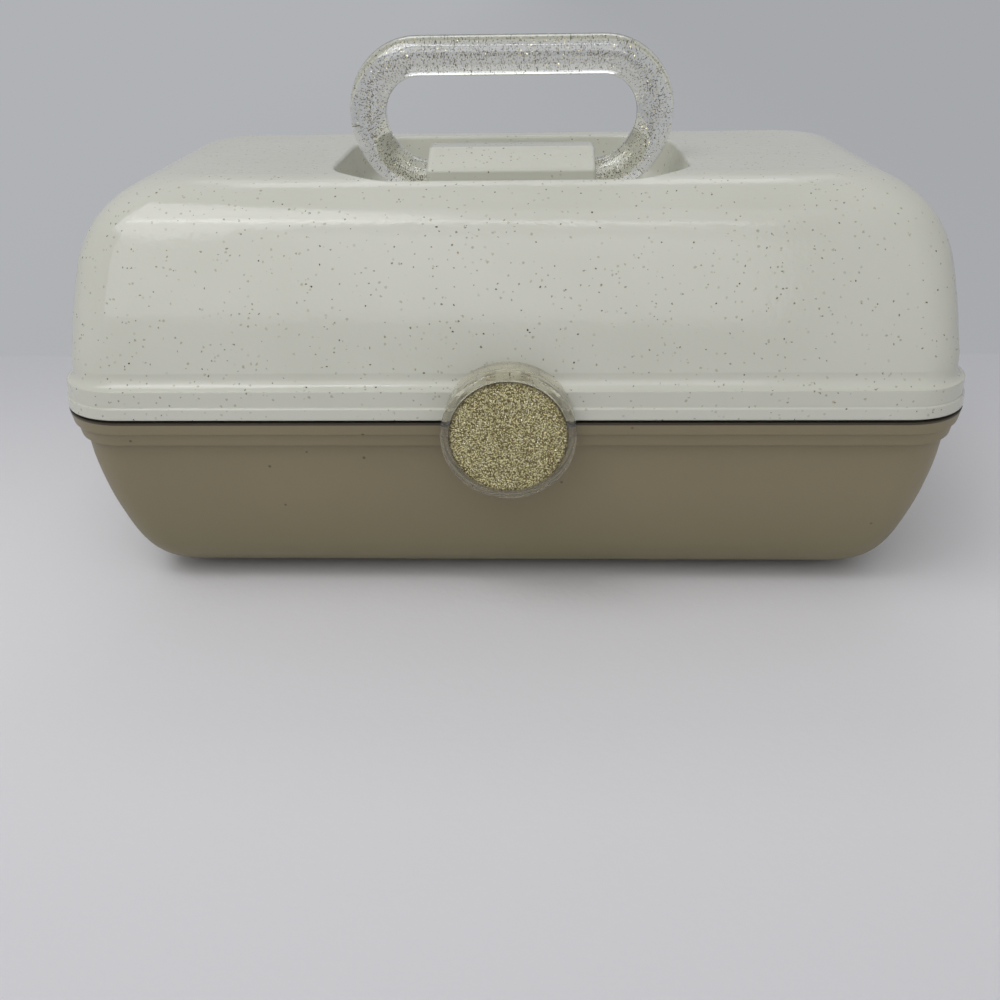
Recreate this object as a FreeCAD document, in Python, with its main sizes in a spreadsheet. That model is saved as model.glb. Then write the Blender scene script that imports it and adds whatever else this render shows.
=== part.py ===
import FreeCAD, Part
import math
import os
import re
import Sketcher
from types import SimpleNamespace

# Makeup storage case with a fold-down handle, a flip latch and a tray that rises with the lid.
# Frame: +X to the right, +Y to the back, +Z up. Origin on the floor, in the middle of the case.

Vector = FreeCAD.Vector

SIZES = [
    # the case as a whole
    ("case_width", 333.0, "over the rims, left to right"),
    ("case_depth", 205.0, "over the rims, front to back"),
    ("base_height", 77.1, "floor to the top of the base's rim"),
    ("lid_height", 75.4, "lid's lower edge to its flat top"),
    ("seam_gap", 1.2, "reveal between the base's rim and the lid's edge"),
    ("rim_corner", 26.0, "plan radius of the rims' corners"),
    ("wall", 2.4, "moulded wall"),
    ("piece_gap", 0.3, "running clearance between pieces"),
    ("pin_gap", 0.06, "radial clearance of a pin in a pivot bore"),
    # base
    ("foot_height", 3.0, "moulded feet under the base"),
    ("foot_width", 26.0, "foot, left to right"),
    ("foot_length", 14.0, "foot, front to back"),
    ("foot_corner", 6.5, "plan radius of a foot's corners"),
    ("foot_end_inset", 52.0, "end rim to the middle of a foot"),
    ("foot_front_inset", 49.0, "front or back rim to the middle of a foot"),
    ("band_round", 0.6, "rounded edges of the bands on base and lid"),
    ("base_band", 5.1, "height of each of the two bands under the rim"),
    ("base_band_draft", 1.0, "each band narrows by this towards the floor"),
    ("base_band_step", 1.2, "step from the first band to the second"),
    ("base_inset", 5.5, "rim to wall, all round"),
    ("base_corner", 17.5, "plan radius of the base's corners"),
    ("base_end_lean", 24.0, "lean of the end walls above their bottom round, degrees"),
    ("base_end_round", 16.8, "round between an end wall and the bottom"),
    ("base_front_lean_top", 6.1, "lean of the front wall under the bands, degrees"),
    ("base_front_lean", 12.2, "lean of the front wall above its bottom round, degrees"),
    ("base_front_round", 24.4, "round between the front wall and the bottom"),
    ("land_width", 3.4, "raised land on the base's rim that the lid rests on"),
    ("land_gap", 0.1, "land to the closed lid"),
    # lid
    ("lid_band_low", 4.3, "height of the lower band"),
    ("lid_band_high", 5.8, "height of the upper band"),
    ("lid_band_draft", 0.4, "each band narrows by this upwards"),
    ("lid_band_step", 0.9, "step from the lower band to the upper"),
    ("flare_height", 5.2, "hollow flare between the bands and the wall"),
    ("lid_side_inset", 5.3, "rim to side wall above the flare"),
    ("lid_front_inset", 6.3, "rim to front wall above the flare"),
    ("lid_corner", 16.5, "plan radius of the lid's corners"),
    ("lid_side_lean_low", 3.0, "lean of the side walls above the flare, degrees"),
    ("lid_side_lean", 9.0, "lean of the side walls under the top round, degrees"),
    ("lid_front_lean_low", 16.0, "lean of the front wall above the flare, degrees"),
    ("lid_front_lean", 33.0, "lean of the front wall under the top round, degrees"),
    ("lid_top_round", 31.7, "round between the lid's walls and its top"),
    # recess for the handle
    ("recess_width", 136.0, "recess at the lid's top, left to right"),
    ("recess_front", 57.0, "middle of the case to the recess's front edge"),
    ("recess_back", 41.0, "middle of the case to the recess's back edge"),
    ("recess_depth", 16.2, "lid's top to the recess floor"),
    ("recess_corner", 27.0, "plan radius of the recess's corners"),
    ("recess_draft", 3.2, "recess narrows by this towards its floor"),
    ("recess_round", 4.5, "round between the recess's walls and floor"),
    ("recess_lip", 1.4, "rounded edge of the recess"),
    # handle
    ("grip_diameter", 14.4, "handle's bar"),
    ("handle_width", 110.4, "between the centre lines of the handle's sides"),
    ("handle_reach", 44.8, "pivot to the centre line of the grip"),
    ("handle_setback", 17.0, "pivot in front of the middle of the case"),
    ("handle_drop", 7.7, "pivot below the lid's top"),
    ("handle_shoulder", 20.0, "radius where the grip turns into the side"),
    ("handle_heel", 24.5, "radius where the side turns into the pivot bar"),
    # handle cap
    ("cap_width", 65.6, "cap over the pivot bar, left to right"),
    ("cap_height", 11.5, "pivot to the cap's flat top"),
    ("cap_front", 11.8, "pivot to the cap's front face"),
    ("cap_back", 14.2, "pivot to the cap's back face"),
    ("cap_crest", 2.0, "the flat top starts this far behind the pivot"),
    ("cap_brow", 6.4, "the top slopes down by this towards the front"),
    ("cap_round", 1.6, "rounded edges of the cap"),
    ("saddle_height", 4.2, "saddle under the pivot bar, above the recess floor"),
    ("cap_screw_spread", 44.0, "between the cap's two screws"),
    ("cap_screw_inset", 2.9, "cap's back face to its screws"),
    ("screw_diameter", 2.6, "thread of the small screws"),
    ("screw_length", 9.0, "small screws under the head"),
    ("screw_head", 5.0, "head diameter of the small screws"),
    ("screw_head_height", 1.7, "head height of the small screws"),
    ("screw_slot", 0.7, "width of the cross slots in the heads"),
    ("screw_slot_length", 2.4, "cross slots, end to end"),
    ("screw_slot_depth", 1.0, "cross slots"),
    # hinges
    ("hinge_spread", 190.0, "between the middles of the two hinges"),
    ("hinge_length", 34.0, "one hinge, over its knuckles"),
    ("hinge_middle", 12.0, "the lid's knuckle"),
    ("hinge_offset", 4.0, "rim to hinge axis"),
    ("knuckle_radius", 3.6, "knuckles"),
    ("hinge_pin", 2.6, "diameter of the hinge pins"),
    ("web_angle", 60.0, "where a knuckle's web leaves its barrel, degrees"),
    # latch
    ("latch_diameter", 47.6, "latch disc"),
    ("latch_front", 10.2, "rim to the latch's face"),
    ("latch_skirt", 2.1, "wall of the latch's skirt"),
    ("latch_plate", 2.5, "thickness behind the inlay"),
    ("latch_round", 0.8, "rounded front edge of the latch"),
    ("latch_groove", 0.6, "depth of the groove round the skirt"),
    ("latch_groove_width", 1.0, "groove round the skirt"),
    ("latch_drop", 1.7, "middle of the latch below the seam"),
    ("inlay_diameter", 41.6, "inlay in the latch"),
    ("inlay_thickness", 1.2, "inlay"),
    ("inlay_recess", 1.0, "inlay's face behind the latch's face"),
    ("latch_rim_gap", 0.4, "skirt to the rims"),
    ("latch_pivot_rise", 15.8, "latch pivot above the seam"),
    ("latch_pivot_front", 1.6, "latch pivot in front of the rim"),
    ("latch_crown", 1.5, "skirt reaches back behind the rim line at its top"),
    ("latch_ear", 8.0, "width of the lid's ear"),
    ("latch_ear_radius", 2.8, "eye of the lid's ear"),
    ("latch_lug", 3.2, "thickness of the latch's lugs"),
    ("latch_pin", 2.4, "diameter of the latch pin"),
    ("keeper_width", 18.0, "keeper on the base behind the latch"),
    ("keeper_height", 5.0, "keeper"),
    ("keeper_setback", 0.1, "keeper's face behind the rim"),
    # tray and its linkage
    ("link_reach", 67.0, "hinge axis to the tray's lid pivot, front to back"),
    ("link_rise", 6.2, "tray's lid pivot above the hinge axis"),
    ("arm_setback", 96.5, "hinge axis to the arm's base pivot, front to back"),
    ("arm_drop", 17.7, "arm's base pivot below the hinge axis"),
    ("arm_width", 12.0, "arm across its base pivot"),
    ("arm_tray_width", 11.87504, "arm across its tray pivot"),
    ("arm_thickness", 3.0, "arm"),
    ("arm_space", 5.0, "arm's outer face to the case wall at the rim"),
    ("boss_diameter", 10.0, "pivot bosses"),
    ("rivet_diameter", 4.0, "shank of the pivot rivets"),
    ("rivet_head", 8.0, "head diameter of the pivot rivets"),
    ("rivet_head_height", 1.3, "head height of the pivot rivets"),
    ("tray_side_gap", 2.4, "tray's side to the arm"),
    ("tray_front_gap", 10.5, "tray's front to the base's front wall"),
    ("tray_overhang", 37.5, "tray behind its lid pivot"),
    ("tray_height", 32.0, "tray"),
    ("tray_drop", 24.5, "tray's underside below its lid pivot"),
    ("tray_wall", 1.8, "tray's walls and floor"),
    ("tray_corner", 12.0, "plan radius of the tray's corners"),
    ("well_corner", 5.0, "plan radius of the compartments' inner corners"),
    ("divider_drop", 5.0, "dividers below the tray's rim"),
    ("rear_row", 56.0, "depth of the tray's rear compartments"),
    ("front_split", 70.0, "front divider to the right of the middle"),
    # mirror
    ("mirror_width", 182.0, "glass"),
    ("mirror_depth", 98.0, "glass"),
    ("mirror_thickness", 3.0, "glass"),
    ("mirror_drop", 21.3, "top of the mirror frame below the lid's top"),
    ("frame_bar", 12.0, "width of the mirror frame's bars"),
    ("frame_lip", 3.0, "lip that holds the glass"),
    ("frame_height", 5.0, "mirror frame"),
    ("frame_corner", 8.0, "plan radius of the mirror frame's corners"),
    ("post_diameter", 7.0, "posts that carry the mirror frame"),
]

PLACES = [
    ("base_rim", "base_height"),
    ("lid_edge", "base_height + seam_gap"),
    ("lid_top", "base_height + seam_gap + lid_height"),
    ("seam", "base_height + seam_gap / 2"),
    ("hinge_y", "case_depth / 2 + hinge_offset"),
    ("inner_side", "case_width / 2 - base_inset - wall"),
    ("inner_front", "case_depth / 2 - base_inset - wall"),
    ("arm_outer", "inner_side - arm_space"),
    ("arm_inner", "arm_outer - arm_thickness"),
    ("tray_side", "arm_inner - tray_side_gap"),
    ("lid_pivot_y", "hinge_y - link_reach"),
    ("lid_pivot_z", "seam + link_rise"),
    ("base_pivot_y", "hinge_y - arm_setback"),
    ("base_pivot_z", "seam - arm_drop"),
    ("tray_pivot_y", "lid_pivot_y - arm_setback"),
    ("tray_pivot_z", "lid_pivot_z - arm_drop"),
    ("tray_front", "tray_front_gap - inner_front"),
    ("tray_back", "lid_pivot_y + tray_overhang"),
    ("tray_bottom", "lid_pivot_z - tray_drop"),
    ("tray_row", "tray_back - tray_wall - rear_row - tray_wall"),
    ("handle_z", "lid_top - handle_drop"),
    ("recess_floor", "lid_top - recess_depth"),
    ("latch_z", "seam - latch_drop"),
    ("latch_face", "-case_depth / 2 - latch_front"),
    ("latch_back", "-case_depth / 2 - latch_rim_gap"),
    ("latch_pivot_y", "-case_depth / 2 - latch_pivot_front"),
    ("latch_pivot_z", "seam + latch_pivot_rise"),
    ("frame_top", "lid_top - mirror_drop"),
    ("frame_width", "mirror_width + 2 * frame_bar - 2 * frame_lip"),
    ("frame_depth", "mirror_depth + 2 * frame_bar - 2 * frame_lip"),
]

doc = FreeCAD.newDocument("makeup_case")
nodes = []


def fill_sheet(label, rows):
    """Spreadsheet of aliased cells, with one row of text for each value."""
    sheet = doc.addObject("Spreadsheet::Sheet", label)
    for number, (alias, content, note) in enumerate(rows, start=1):
        sheet.set(f"A{number}", alias)
        sheet.set(f"B{number}", content)
        sheet.set(f"C{number}", note)
        sheet.setAlias(f"B{number}", alias)
    doc.recompute()
    return SimpleNamespace(**{alias: float(sheet.get(alias)) for alias, _, _ in rows})


driving = [(alias, str(value), note) for alias, value, note in SIZES]
derived = [(alias, "=" + formula, "") for alias, formula in PLACES]
s = fill_sheet("Sizes", driving + derived)

HINGE = (s.hinge_y, s.seam)
LID_PIVOT = (s.lid_pivot_y, s.lid_pivot_z)
BASE_PIVOT = (s.base_pivot_y, s.base_pivot_z)
TRAY_PIVOT = (s.tray_pivot_y, s.tray_pivot_z)
LATCH_PIVOT = (s.latch_pivot_y, s.latch_pivot_z)
OVERLAP = 1.0
NEAR = 0.01
HULL_STEPS = 12
FLARE_STEPS = 4
ROUGH = 50.0


def keep(item):
    """List an object of the document as a finished sub-part."""
    nodes.append(item)
    return item


def keep_shape(label, shape):
    """Sub-part whose form is worked out below from the sheet's values."""
    feature = doc.addObject("Part::Feature", label)
    feature.Shape = shape.removeSplitter()
    return keep(feature)


# ---------------------------------------------------------------- solids


def box(x_range, y_range, z_range):
    corner = Vector(x_range[0], y_range[0], z_range[0])
    spans = [high - low for low, high in (x_range, y_range, z_range)]
    return Part.makeBox(*spans, corner)


def rod_x(centre, radius, x_from, x_to):
    """Cylinder along X around a point (y, z)."""
    low, high = sorted((x_from, x_to))
    return Part.makeCylinder(radius, high - low, Vector(low, *centre), Vector(1, 0, 0))


def rod_y(centre, radius, y_from, y_to):
    """Cylinder along Y around a point (x, z)."""
    start = Vector(centre[0], y_from, centre[1])
    return Part.makeCylinder(radius, y_to - y_from, start, Vector(0, 1, 0))


def rod_z(centre, radius, z_from, z_to):
    """Upright cylinder around a point (x, y)."""
    return Part.makeCylinder(radius, z_to - z_from, Vector(*centre, z_from))


def prism_x(corners, x_from, x_to):
    """Polygon of (y, z) corners, drawn out along X."""
    points = [Vector(x_from, y, z) for y, z in corners]
    face = Part.Face(Part.makePolygon(points + points[:1]))
    return face.extrude(Vector(x_to - x_from, 0, 0))


def rounded_rectangle(x_range, y_range, radius, z):
    """Wire of a rectangle with four equal corner arcs."""
    points = []
    for index in range(4):
        angle = math.radians(90 * index - 90)
        centre_x = x_range[1] - radius if index in (0, 1) else x_range[0] + radius
        centre_y = y_range[0] + radius if index in (0, 3) else y_range[1] - radius
        for part in range(3):
            turn = angle + part * math.pi / 4
            across = centre_x + radius * math.cos(turn)
            points.append(Vector(across, centre_y + radius * math.sin(turn), z))
    edges = []
    for index in range(0, 12, 3):
        edges.append(Part.Arc(*points[index:index + 3]).toShape())
        edges.append(Part.LineSegment(points[index + 2], points[(index + 3) % 12]).toShape())
    return Part.Wire(edges)


def ring_section(inset_x, inset_y, radius, z):
    """Outline at one height, set in from the rims."""
    half_x = s.case_width / 2 - inset_x
    half_y = s.case_depth / 2 - inset_y
    return rounded_rectangle((-half_x, half_x), (-half_y, half_y), radius, z)


def loft(sections, ruled=True):
    return Part.makeLoft(sections, True, ruled)


def hull_half(height, half, lean_open, lean_closed, round_radius):
    """Half width of a hull as a function of the distance from its mouth. The wall curves from
    one lean to the other, then rounds into the closed side at the given height."""
    sine_open = math.sin(math.radians(lean_open))
    sine_closed = math.sin(math.radians(lean_closed))
    knee = height - round_radius * (1 - sine_closed)
    wall_radius = knee / (sine_closed - sine_open)

    def run(sine):
        return math.sqrt(max(0.0, 1 - sine ** 2))

    def half_at(distance):
        if distance <= knee:
            return half - wall_radius * (run(sine_open) - run(sine_open + distance / wall_radius))
        at_knee = half - wall_radius * (run(sine_open) - run(sine_closed))
        sine = 1 - (height - distance) / round_radius
        return at_knee - round_radius * (run(sine_closed) - run(sine))

    return half_at


def hull(mouth, closed, half_x, half_y, side, front, corner):
    """Hull from its mouth to its closed side, which may lie above or below. The side and front
    profiles are (lean, lean, round); the sections crowd together towards the closed side."""
    height = abs(closed - mouth)
    up = math.copysign(1, closed - mouth)
    half_x_at = hull_half(height, half_x, *side)
    half_y_at = hull_half(height, half_y, *front)
    sections = []
    for step in range(HULL_STEPS + 1):
        distance = height * math.sin(math.pi / 2 * step / HULL_STEPS)
        x = half_x_at(distance)
        y = half_y_at(distance)
        sections.append(rounded_rectangle((-x, x), (-y, y), corner, mouth + up * distance))
    return loft(sections, ruled=False)


def round_edges(shape, radius, wanted):
    """Fillet the edges that a test picks out."""
    return shape.makeFillet(radius, [edge for edge in shape.Edges if wanted(edge)])


# ---------------------------------------------------------------- base


def base_hull(offset):
    """Body of the base under the bands, or its inside where an offset is given."""
    mouth = s.base_rim - 2 * s.base_band
    side = (0.0, s.base_end_lean, s.base_end_round - offset)
    front = (s.base_front_lean_top, s.base_front_lean, s.base_front_round - offset)
    half_x = s.case_width / 2 - s.base_inset - offset
    half_y = s.case_depth / 2 - s.base_inset - offset
    return hull(mouth, s.foot_height + offset, half_x, half_y, side, front, s.base_corner - offset)


def base_corner_at(inset):
    """Plan radius between the rim's and the wall's."""
    return s.rim_corner - (s.rim_corner - s.base_corner) * inset / s.base_inset


def base_band(top, inset):
    lower = inset + s.base_band_draft
    bottom = top - s.base_band
    band = loft([
        ring_section(lower, lower, base_corner_at(lower), bottom),
        ring_section(inset, inset, base_corner_at(inset), top),
    ])
    return round_edges(band, s.band_round, lambda edge: edge.BoundBox.ZMax < bottom + NEAR)


def base_cavity():
    inset = s.base_inset + s.wall
    radius = s.base_corner - s.wall
    mouth_from = s.base_rim - 2 * s.base_band
    mouth = loft([ring_section(inset, inset, radius, z) for z in (mouth_from, s.lid_edge + OVERLAP)])
    return base_hull(s.wall).fuse(mouth)


def rim_land():
    """Raised land round the mouth, where the closed lid comes to rest."""
    inset = s.base_inset + s.wall - s.land_width
    radius = s.base_corner - s.wall + s.land_width
    top = s.lid_edge - s.land_gap
    return loft([ring_section(inset, inset, radius, z) for z in (s.base_rim - OVERLAP, top)])


def hinge_parts(centre_x):
    """X ranges of one hinge: the base's two knuckles and the lid's between them."""
    half = s.hinge_length / 2
    middle = s.hinge_middle / 2
    outer = middle + s.piece_gap
    base_ranges = [(centre_x - half, centre_x - outer), (centre_x + outer, centre_x + half)]
    return base_ranges, (centre_x - middle, centre_x + middle)


HINGE_CENTRES = (-s.hinge_spread / 2, s.hinge_spread / 2)
SIDES = {"left": -1, "right": 1}


def base_knuckle(x_range):
    y, z = HINGE
    rim_y = s.case_depth / 2 - s.base_inset + OVERLAP
    under = math.radians(-s.web_angle)
    touch = (y + s.knuckle_radius * math.cos(under), z + s.knuckle_radius * math.sin(under))
    band_bottom = s.base_rim - 2 * s.base_band
    web = prism_x([(rim_y, band_bottom), (rim_y, s.base_rim), (y, s.base_rim), touch], *x_range)
    return web.fuse(rod_x(HINGE, s.knuckle_radius, *x_range))


def make_base_shell():
    second = s.base_band_draft + s.base_band_step
    band_bottom = s.base_rim - 2 * s.base_band
    levels = (band_bottom, s.base_rim)
    neck = loft([ring_section(s.base_inset, s.base_inset, s.base_corner, z) for z in levels])
    bands = [base_band(s.base_rim, 0), base_band(s.base_rim - s.base_band, second)]
    shell = base_hull(0).multiFuse([neck, *bands, rim_land()])
    keeper = box((-s.keeper_width / 2, s.keeper_width / 2),
                 (s.keeper_setback - s.case_depth / 2, s.base_inset + OVERLAP - s.case_depth / 2),
                 (band_bottom, band_bottom + s.keeper_height))
    additions = [keeper]
    for centre_x in HINGE_CENTRES:
        for x_range in hinge_parts(centre_x)[0]:
            additions.append(base_knuckle(x_range))
    foot_x = s.case_width / 2 - s.foot_end_inset
    foot_y = s.case_depth / 2 - s.foot_front_inset
    levels = (0, s.foot_height + OVERLAP)
    for x in (-foot_x, foot_x):
        for y in (-foot_y, foot_y):
            x_range = (x - s.foot_width / 2, x + s.foot_width / 2)
            y_range = (y - s.foot_length / 2, y + s.foot_length / 2)
            additions.append(loft([rounded_rectangle(x_range, y_range, s.foot_corner, z) for z in levels]))
    shell = shell.multiFuse(additions).cut(base_cavity())
    bosses = []
    for side in SIDES.values():
        bosses.append(rod_x(BASE_PIVOT, s.boss_diameter / 2, side * (s.arm_outer + s.piece_gap),
                            side * (s.inner_side + s.wall / 2)))
    shell = shell.multiFuse(bosses)
    bores = []
    for centre_x in HINGE_CENTRES:
        half = s.hinge_length / 2 + OVERLAP
        bores.append(rod_x(HINGE, s.hinge_pin / 2, centre_x - half, centre_x + half))
    rivet_end = s.inner_side + s.wall / 4
    for side in SIDES.values():
        bores.append(rod_x(BASE_PIVOT, s.rivet_diameter / 2, side * s.arm_inner, side * rivet_end))
    return keep_shape("base_shell", shell.cut(Part.makeCompound(bores)))


# ---------------------------------------------------------------- lid


def lid_hull(offset):
    """Dome of the lid above the flare, or its inside where an offset is given."""
    start = s.lid_edge + s.lid_band_low + s.lid_band_high + s.flare_height
    side = (s.lid_side_lean_low, s.lid_side_lean, s.lid_top_round - offset)
    front = (s.lid_front_lean_low, s.lid_front_lean, s.lid_top_round - offset)
    half_x = s.case_width / 2 - s.lid_side_inset - offset
    half_y = s.case_depth / 2 - s.lid_front_inset - offset
    return hull(start, s.lid_top - offset, half_x, half_y, side, front, s.lid_corner - offset)


def lid_corner_at(inset):
    return s.rim_corner - (s.rim_corner - s.lid_corner) * inset / s.lid_side_inset


def lid_band(bottom, height, inset):
    upper = inset + s.lid_band_draft
    top = bottom + height
    return loft([
        ring_section(inset, inset, lid_corner_at(inset), bottom),
        ring_section(upper, upper, lid_corner_at(upper), top),
    ])


def lid_flare(bottom, inset):
    """Hollow sweep from the upper band in to the wall."""
    sections = []
    for step in range(FLARE_STEPS + 1):
        angle = math.pi / 2 * step / FLARE_STEPS
        z = bottom + s.flare_height * (1 - math.cos(angle))
        inset_x = inset + (s.lid_side_inset - inset) * math.sin(angle)
        inset_y = inset + (s.lid_front_inset - inset) * math.sin(angle)
        sections.append(ring_section(inset_x, inset_y, lid_corner_at(inset_x), z))
    return loft(sections, ruled=False)


def recess(offset):
    """Bowl for the folded handle. The offset gives the outside of its wall."""
    floor = s.recess_floor - offset
    top = s.lid_top + 2 * OVERLAP
    draft = s.recess_draft
    half_x = s.recess_width / 2 + offset
    front = -s.recess_front - offset
    back = s.recess_back + offset
    corner = s.recess_corner + offset
    floor_x = (draft - half_x, half_x - draft)
    floor_y = (front + draft, back - draft)
    bowl = loft([
        rounded_rectangle(floor_x, floor_y, corner - draft, floor),
        rounded_rectangle((-half_x, half_x), (front, back), corner, top),
    ])
    return round_edges(bowl, s.recess_round + offset, lambda edge: edge.BoundBox.ZMax < floor + NEAR)


def lid_knuckle(x_range):
    y, z = HINGE
    rim_y = s.case_depth / 2 - s.lid_front_inset
    over = math.radians(s.web_angle)
    touch = (y + s.knuckle_radius * math.cos(over), z + s.knuckle_radius * math.sin(over))
    web_top = s.lid_edge + s.lid_band_low + s.lid_band_high
    web = prism_x([(rim_y, s.lid_edge), (y, s.lid_edge), touch, (rim_y, web_top)], *x_range)
    return web.fuse(rod_x(HINGE, s.knuckle_radius, *x_range))


def latch_ear():
    y, z = LATCH_PIVOT
    half = s.latch_ear / 2
    back_y = -s.case_depth / 2 + s.lid_band_draft + s.lid_band_step + OVERLAP
    radius = s.latch_ear_radius
    low = s.lid_edge + s.lid_band_low + radius / 2
    high = s.lid_edge + s.lid_band_low + s.lid_band_high - s.band_round - OVERLAP
    web = prism_x([(back_y, low), (y - radius, z), (y + radius, z), (back_y, high)], -half, half)
    return web.fuse(rod_x(LATCH_PIVOT, radius, -half, half))


def saddle():
    """Half-round bed for the handle's pivot bar on the recess floor."""
    axis = (-s.handle_setback, s.handle_z)
    half_x = s.cap_width / 2 - s.wall
    half_y = s.grip_diameter / 2 - s.piece_gap
    y_range = (axis[0] - half_y, axis[0] + half_y)
    levels = (s.recess_floor - OVERLAP, s.recess_floor + s.saddle_height)
    bar = rod_x(axis, s.grip_diameter / 2 + s.piece_gap / 2, -half_x - OVERLAP, half_x + OVERLAP)
    return box((-half_x, half_x), y_range, levels).cut(bar)


def cap_screw_places():
    y = s.cap_back - s.handle_setback - s.cap_screw_inset
    return [(x, y) for x in (-s.cap_screw_spread / 2, s.cap_screw_spread / 2)]


def frame_screw_places():
    x = s.frame_width / 2 - s.frame_bar / 2
    y = s.frame_depth / 2 - s.frame_bar / 2
    return [(sign_x * x, sign_y * y) for sign_x in (-1, 1) for sign_y in (-1, 1)]


def recess_lid(outside):
    """Lid's solid with the recess sunk into it and the recess's edge rounded."""
    bowl = recess(0)
    skin = bowl.Shells[0]

    def is_rim(edge):
        middle = edge.valueAt((edge.FirstParameter + edge.LastParameter) / 2)
        near_top = edge.BoundBox.ZMin > s.lid_top - s.recess_lip
        return near_top and Part.Vertex(middle).distToShape(skin)[0] < NEAR

    return round_edges(outside.cut(bowl), s.recess_lip, is_rim)


def make_lid_shell():
    upper = s.lid_band_draft + s.lid_band_step
    band_top = s.lid_edge + s.lid_band_low + s.lid_band_high
    start = band_top + s.flare_height
    neck_levels = (s.lid_edge, start)
    neck = loft([ring_section(s.lid_side_inset, s.lid_front_inset, s.lid_corner, z) for z in neck_levels])
    low_top = s.lid_edge + s.lid_band_low
    low_band = lid_band(s.lid_edge, s.lid_band_low, 0)
    outside = lid_hull(0).multiFuse([
        neck,
        round_edges(low_band, s.band_round, lambda edge: edge.BoundBox.ZMin > low_top - NEAR),
        lid_band(low_top, s.lid_band_high, upper),
        lid_flare(band_top, upper + s.lid_band_draft),
    ])
    inset_x = s.lid_side_inset + s.wall
    inset_y = s.lid_front_inset + s.wall
    radius = s.lid_corner - s.wall
    mouth = loft([ring_section(inset_x, inset_y, radius, z) for z in (s.lid_edge - OVERLAP, start)])
    inside = lid_hull(s.wall).fuse(mouth)
    shell = recess_lid(outside).cut(inside.cut(recess(s.wall)))
    ceiling = s.lid_top - s.wall / 2
    additions = [saddle(), latch_ear()]
    for place in frame_screw_places():
        additions.append(rod_z(place, s.post_diameter / 2, s.frame_top, ceiling))
    for centre_x in HINGE_CENTRES:
        additions.append(lid_knuckle(hinge_parts(centre_x)[1]))
    lid_inner_side = s.case_width / 2 - s.lid_side_inset - s.wall
    boss_from = s.tray_side + s.tray_side_gap
    boss_to = lid_inner_side + s.wall / 2
    for side in SIDES.values():
        additions.append(rod_x(LID_PIVOT, s.boss_diameter / 2, side * boss_from, side * boss_to))
    shell = shell.multiFuse(additions)
    bores = [rod_x(LATCH_PIVOT, s.latch_pin / 2, -s.latch_ear, s.latch_ear)]
    for centre_x in HINGE_CENTRES:
        half = s.hinge_middle / 2 + OVERLAP
        bores.append(rod_x(HINGE, s.hinge_pin / 2 + s.pin_gap, centre_x - half, centre_x + half))
    rivet_end = lid_inner_side + s.wall / 4
    for side in SIDES.values():
        bores.append(rod_x(LID_PIVOT, s.rivet_diameter / 2, side * s.tray_side, side * rivet_end))
    screw_radius = s.screw_diameter / 2
    for place in cap_screw_places():
        bores.append(rod_z(place, screw_radius, s.recess_floor - 2 * s.wall, s.recess_floor + OVERLAP))
    for place in frame_screw_places():
        bores.append(rod_z(place, screw_radius, s.frame_top - OVERLAP, s.frame_top + s.screw_length))
    return keep_shape("lid_shell", shell.cut(Part.makeCompound(bores)))


# ---------------------------------------------------------------- bodies drawn from sketches


def origin_plane(body, role):
    return next(item for item in body.Origin.OriginFeatures if item.Role == role)


def new_sketch(body, name, role, lift=None):
    """Sketch on an origin plane of its body, moved along the plane's normal."""
    sketch = body.newObject("Sketcher::SketchObject", name)
    sketch.AttachmentSupport = [(origin_plane(body, role), "")]
    sketch.MapMode = "FlatFace"
    if lift:
        sketch.setExpression("AttachmentOffset.Base.z", lift)
    return sketch


def bind(sketch, kind, first, second, seed, value):
    """Dimension whose value follows a formula of the sheet."""
    index = sketch.addConstraint(Sketcher.Constraint(kind, *first, *second, seed))
    sketch.setExpression(f"Constraints[{index}]", value)


def polygon(body, name, role, corners, lift=None):
    """Closed outline whose corners are pairs of formulas."""
    sketch = new_sketch(body, name, role, lift)
    count = len(corners)
    turn = 2 * math.pi / count
    seeds = [(ROUGH * math.cos(turn * index), ROUGH * math.sin(turn * index)) for index in range(count)]
    for index, seed in enumerate(seeds):
        following = seeds[(index + 1) % count]
        sketch.addGeometry(Part.LineSegment(Vector(*seed, 0), Vector(*following, 0)), False)
    for index in range(count):
        sketch.addConstraint(Sketcher.Constraint("Coincident", index, 2, (index + 1) % count, 1))
    for index, (across, up) in enumerate(corners):
        bind(sketch, "DistanceX", (-1, 1), (index, 1), seeds[index][0], across)
        bind(sketch, "DistanceY", (-1, 1), (index, 1), seeds[index][1], up)
    return sketch


def rectangle(body, name, role, x_low, x_high, y_low, y_high, lift=None):
    corners = [(x_low, y_low), (x_high, y_low), (x_high, y_high), (x_low, y_high)]
    return polygon(body, name, role, corners, lift)


def circle(body, name, role, centre, radius, lift=None):
    """Circle round a point given by two formulas."""
    sketch = new_sketch(body, name, role, lift)
    sketch.addGeometry(Part.Circle(Vector(ROUGH, ROUGH, 0), Vector(0, 0, 1), ROUGH), False)
    bind(sketch, "DistanceX", (-1, 1), (0, 3), ROUGH, centre[0])
    bind(sketch, "DistanceY", (-1, 1), (0, 3), ROUGH, centre[1])
    index = sketch.addConstraint(Sketcher.Constraint("Radius", 0, 3))
    sketch.setExpression(f"Constraints[{index}]", radius)
    return sketch


def extrude(body, kind, name, sketch, length, backwards=False, both_ways=False):
    """Pad or pocket of one sketch."""
    feature = body.newObject(f"PartDesign::{kind}", name)
    feature.Profile = sketch
    feature.setExpression("Length", length)
    feature.Reversed = backwards
    feature.Midplane = both_ways
    doc.recompute()
    return feature


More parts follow.
